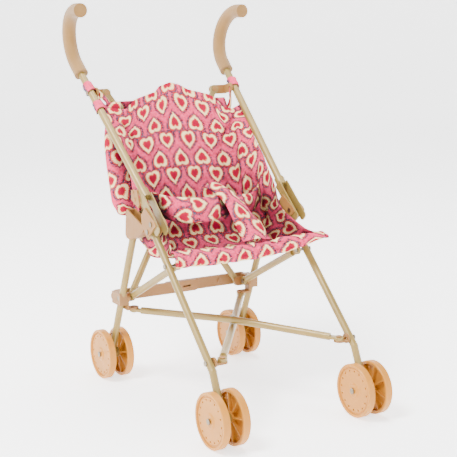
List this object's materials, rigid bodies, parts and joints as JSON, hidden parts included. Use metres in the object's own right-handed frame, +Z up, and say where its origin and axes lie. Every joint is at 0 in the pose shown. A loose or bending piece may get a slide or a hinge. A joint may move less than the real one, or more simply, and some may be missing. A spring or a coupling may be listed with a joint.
{
  "type": "doll stroller",
  "caption": "Folding doll stroller with umbrella handles, crossed tubes, paired wheels, a lock strut and a sling seat of printed cloth.",
  "frame": {"origin": "floor point below the middle of the stroller's overall box", "axes": "+X is the side on the right as seen from the front, the front faces -Y, +Z is up"},
  "size_m": [0.2994, 0.474, 0.5651],
  "materials": {
    "frame_paint": "satin champagne paint on steel tube",
    "bracket_plastic": "matte moulded",
    "lock_plastic": "matte moulded",
    "wheel_plastic": "smooth moulded",
    "grip_foam": "soft foam",
    "rivet_steel": "zinc plated",
    "printed_cloth": "plain woven cotton with a printed pattern"
  },
  "bodies": {
    "rear_leg_left": {"rear_leg_left": "frame_paint", "rear_axle_left": "rivet_steel", "leg_housing_left": "bracket_plastic", "lock_mount_left": "lock_plastic", "rear_rivets_left": "rivet_steel"},
    "front_leg_left": {"front_leg_left": "frame_paint", "front_axle_left": "rivet_steel", "leg_rivets_left": "rivet_steel"},
    "handle_left": {"handle_tube_left": "frame_paint", "grip_left": "grip_foam", "channel_left": "frame_paint", "knuckle_left": "bracket_plastic", "link_plate_left": "bracket_plastic", "knuckle_rivets_left": "rivet_steel", "seat_back": "printed_cloth", "back_bag": "printed_cloth", "seat_base": "printed_cloth", "seat_belt": "printed_cloth"},
    "stay_left": {"stay_left": "frame_paint"},
    "lower_rear_bracket_left": {"lower_rear_bracket_left": "bracket_plastic"},
    "upper_rear_bracket_left": {"upper_rear_bracket_left": "bracket_plastic"},
    "front_bracket_left": {"front_bracket_left": "bracket_plastic"},
    "top_bracket_left": {"top_bracket_left": "bracket_plastic"},
    "lock_left": {"lock_strut_left": "lock_plastic"},
    "rear_leg_right": {"rear_leg_right": "frame_paint", "rear_axle_right": "rivet_steel", "leg_housing_right": "bracket_plastic", "lock_mount_right": "lock_plastic", "rear_rivets_right": "rivet_steel"},
    "front_leg_right": {"front_leg_right": "frame_paint", "front_axle_right": "rivet_steel", "leg_rivets_right": "rivet_steel"},
    "handle_right": {"handle_tube_right": "frame_paint", "grip_right": "grip_foam", "channel_right": "frame_paint", "knuckle_right": "bracket_plastic", "link_plate_right": "bracket_plastic", "knuckle_rivets_right": "rivet_steel"},
    "stay_right": {"stay_right": "frame_paint"},
    "lower_rear_bracket_right": {"lower_rear_bracket_right": "bracket_plastic"},
    "upper_rear_bracket_right": {"upper_rear_bracket_right": "bracket_plastic"},
    "front_bracket_right": {"front_bracket_right": "bracket_plastic"},
    "top_bracket_right": {"top_bracket_right": "bracket_plastic"},
    "lock_right": {"lock_strut_right": "lock_plastic"},
    "lower_tube_a": {"lower_cross_tube_a": "frame_paint", "lower_cross_rivet": "rivet_steel"},
    "lower_tube_b": {"lower_cross_tube_b": "frame_paint"},
    "upper_tube_a": {"upper_cross_tube_a": "frame_paint", "upper_cross_rivet": "rivet_steel"},
    "upper_tube_b": {"upper_cross_tube_b": "frame_paint"},
    "front_wheel_left_outer": {"front_wheel_left_outer": "wheel_plastic"},
    "front_wheel_left_inner": {"front_wheel_left_inner": "wheel_plastic"},
    "rear_wheel_left_outer": {"rear_wheel_left_outer": "wheel_plastic"},
    "rear_wheel_left_inner": {"rear_wheel_left_inner": "wheel_plastic"},
    "front_wheel_right_outer": {"front_wheel_right_outer": "wheel_plastic"},
    "front_wheel_right_inner": {"front_wheel_right_inner": "wheel_plastic"},
    "rear_wheel_right_outer": {"rear_wheel_right_outer": "wheel_plastic"},
    "rear_wheel_right_inner": {"rear_wheel_right_inner": "wheel_plastic"}
  },
  "joints": [
    {"name": "stay_left_pivot", "type": "hinge", "parent": "rear_leg_left", "child": "stay_left", "pos_m": [-0.1, 0.0953, 0.1325], "axis": [1, 0, 0], "range_deg": [-10.38, 0]},
    {"name": "front_leg_left_pivot", "type": "hinge", "parent": "stay_left", "child": "front_leg_left", "pos_m": [-0.1, -0.0542, 0.2098], "axis": [1, 0, 0], "range_deg": [-61.57, 0]},
    {"name": "fold", "type": "hinge", "parent": "front_leg_left", "child": "handle_left", "pos_m": [-0.1145, -0.0113, 0.2513], "axis": [1, 0, 0], "range_deg": [0, 145.42], "deforming": ["seat_back", "seat_base", "seat_belt", "back_bag"]},
    {"name": "lower_rear_bracket_left_pivot", "type": "hinge", "parent": "rear_leg_left", "child": "lower_rear_bracket_left", "pos_m": [-0.1075, 0.0953, 0.1325], "axis": [1, 0, 0], "range_deg": [-38.68, 0]},
    {"name": "lower_tube_a_pivot", "type": "hinge", "parent": "lower_rear_bracket_left", "child": "lower_tube_a", "pos_m": [-0.0945, 0.09587, 0.11151], "axis": [0, -0.0272, 0.9996], "range_deg": [-30.04, 0]},
    {"name": "lower_cross_pivot", "type": "hinge", "parent": "lower_tube_a", "child": "lower_tube_b", "pos_m": [0, -0.03469, 0.10795], "axis": [0, -0.0272, 0.9996], "range_deg": [0, 60.08]},
    {"name": "lower_rear_bracket_right_pivot", "type": "hinge", "parent": "lower_tube_b", "child": "lower_rear_bracket_right", "pos_m": [0.0945, 0.09587, 0.11151], "axis": [0, -0.0272, 0.9996], "range_deg": [-30.04, 0]},
    {"name": "rear_leg_right_pivot", "type": "hinge", "parent": "lower_rear_bracket_right", "child": "rear_leg_right", "pos_m": [0.1075, 0.0953, 0.1325], "axis": [1, 0, 0], "range_deg": [0, 38.68]},
    {"name": "front_bracket_right_pivot", "type": "hinge", "parent": "lower_tube_a", "child": "front_bracket_right", "pos_m": [0.0945, -0.16525, 0.1044], "axis": [0, -0.0272, 0.9996], "range_deg": [0, 30.04]},
    {"name": "front_bracket_left_pivot", "type": "hinge", "parent": "lower_tube_b", "child": "front_bracket_left", "pos_m": [-0.0945, -0.16525, 0.1044], "axis": [0, -0.0272, 0.9996], "range_deg": [-30.04, 0]},
    {"name": "stay_right_pivot", "type": "hinge", "parent": "rear_leg_right", "child": "stay_right", "pos_m": [0.1, 0.0953, 0.1325], "axis": [1, 0, 0], "range_deg": [-10.38, 0]},
    {"name": "front_leg_right_pivot", "type": "hinge", "parent": "stay_right", "child": "front_leg_right", "pos_m": [0.1, -0.0542, 0.2098], "axis": [1, 0, 0], "range_deg": [-61.57, 0]},
    {"name": "fold_right", "type": "hinge", "parent": "front_leg_right", "child": "handle_right", "pos_m": [0.1145, -0.0113, 0.2513], "axis": [1, 0, 0], "range_deg": [0, 145.56]},
    {"name": "upper_rear_bracket_left_pivot", "type": "hinge", "parent": "rear_leg_left", "child": "upper_rear_bracket_left", "pos_m": [-0.1045, 0.0953, 0.1325], "axis": [1, 0, 0], "range_deg": [0, 47.99]},
    {"name": "upper_tube_a_pivot", "type": "hinge", "parent": "upper_rear_bracket_left", "child": "upper_tube_a", "pos_m": [-0.0945, 0.10795, 0.12951], "axis": [0, -0.9731, 0.2304], "range_deg": [0, 26.16]},
    {"name": "upper_cross_pivot", "type": "hinge", "parent": "upper_tube_a", "child": "upper_tube_b", "pos_m": [0, 0.1437, 0.28051], "axis": [0, -0.9731, 0.2304], "range_deg": [-52.31, 0]},
    {"name": "upper_rear_bracket_right_pivot", "type": "hinge", "parent": "upper_tube_b", "child": "upper_rear_bracket_right", "pos_m": [0.0945, 0.10795, 0.12951], "axis": [0, -0.9731, 0.2304], "range_deg": [0, 26.16]},
    {"name": "top_bracket_right_pivot", "type": "hinge", "parent": "upper_tube_a", "child": "top_bracket_right", "pos_m": [0.0945, 0.17945, 0.43151], "axis": [0, -0.9731, 0.2304], "range_deg": [-26.16, 0]},
    {"name": "top_bracket_left_pivot", "type": "hinge", "parent": "upper_tube_b", "child": "top_bracket_left", "pos_m": [-0.0945, 0.17945, 0.43151], "axis": [0, -0.9731, 0.2304], "range_deg": [0, 26.16]},
    {"name": "lock_left_pivot", "type": "hinge", "parent": "rear_leg_left", "child": "lock_left", "pos_m": [-0.112, 0.1135, 0.131], "axis": [0, -1, 0], "range_deg": [0, 72.4]},
    {"name": "lock_right_pivot", "type": "hinge", "parent": "rear_leg_right", "child": "lock_right", "pos_m": [0.112, 0.1135, 0.131], "axis": [0, 1, 0], "range_deg": [0, 72.4]},
    {"name": "front_wheel_left_outer_spin", "type": "hinge", "parent": "front_leg_left", "child": "front_wheel_left_outer", "pos_m": [-0.12935, -0.1997, 0.0375], "axis": [1, 0, 0], "continuous": true},
    {"name": "front_wheel_left_inner_spin", "type": "hinge", "parent": "front_leg_left", "child": "front_wheel_left_inner", "pos_m": [-0.09965, -0.1997, 0.0375], "axis": [1, 0, 0], "continuous": true},
    {"name": "rear_wheel_left_outer_spin", "type": "hinge", "parent": "rear_leg_left", "child": "rear_wheel_left_outer", "pos_m": [-0.12935, 0.135, 0.0375], "axis": [1, 0, 0], "continuous": true},
    {"name": "rear_wheel_left_inner_spin", "type": "hinge", "parent": "rear_leg_left", "child": "rear_wheel_left_inner", "pos_m": [-0.09965, 0.135, 0.0375], "axis": [1, 0, 0], "continuous": true},
    {"name": "front_wheel_right_outer_spin", "type": "hinge", "parent": "front_leg_right", "child": "front_wheel_right_outer", "pos_m": [0.12935, -0.1997, 0.0375], "axis": [1, 0, 0], "continuous": true},
    {"name": "front_wheel_right_inner_spin", "type": "hinge", "parent": "front_leg_right", "child": "front_wheel_right_inner", "pos_m": [0.09965, -0.1997, 0.0375], "axis": [1, 0, 0], "continuous": true},
    {"name": "rear_wheel_right_outer_spin", "type": "hinge", "parent": "rear_leg_right", "child": "rear_wheel_right_outer", "pos_m": [0.12935, 0.135, 0.0375], "axis": [1, 0, 0], "continuous": true},
    {"name": "rear_wheel_right_inner_spin", "type": "hinge", "parent": "rear_leg_right", "child": "rear_wheel_right_inner", "pos_m": [0.09965, 0.135, 0.0375], "axis": [1, 0, 0], "continuous": true}
  ],
  "couplings": [
    {"joint": "stay_left_pivot", "follows": "fold", "ratio": -0.071311},
    {"joint": "front_leg_left_pivot", "follows": "fold", "ratio": -0.42297},
    {"joint": "lower_rear_bracket_left_pivot", "follows": "fold", "ratio": -0.26572},
    {"joint": "lower_tube_a_pivot", "follows": "fold", "ratio": -0.20638},
    {"joint": "lower_cross_pivot", "follows": "fold", "ratio": 0.41276},
    {"joint": "lower_rear_bracket_right_pivot", "follows": "fold", "ratio": -0.20638},
    {"joint": "rear_leg_right_pivot", "follows": "fold", "ratio": 0.26572},
    {"joint": "front_bracket_right_pivot", "follows": "fold", "ratio": 0.20638},
    {"joint": "front_bracket_left_pivot", "follows": "fold", "ratio": -0.20638},
    {"joint": "stay_right_pivot", "follows": "fold", "ratio": -0.071311},
    {"joint": "front_leg_right_pivot", "follows": "fold", "ratio": -0.42297},
    {"joint": "fold_right", "follows": "fold", "ratio": 1},
    {"joint": "upper_rear_bracket_left_pivot", "follows": "fold", "ratio": 0.32967},
    {"joint": "upper_tube_a_pivot", "follows": "fold", "ratio": 0.17969},
    {"joint": "upper_cross_pivot", "follows": "fold", "ratio": -0.35939},
    {"joint": "upper_rear_bracket_right_pivot", "follows": "fold", "ratio": 0.17969},
    {"joint": "top_bracket_right_pivot", "follows": "fold", "ratio": -0.17969},
    {"joint": "top_bracket_left_pivot", "follows": "fold", "ratio": 0.17969},
    {"joint": "lock_left_pivot", "follows": "fold", "ratio": 0.49737},
    {"joint": "lock_right_pivot", "follows": "fold", "ratio": 0.49737}
  ]
}
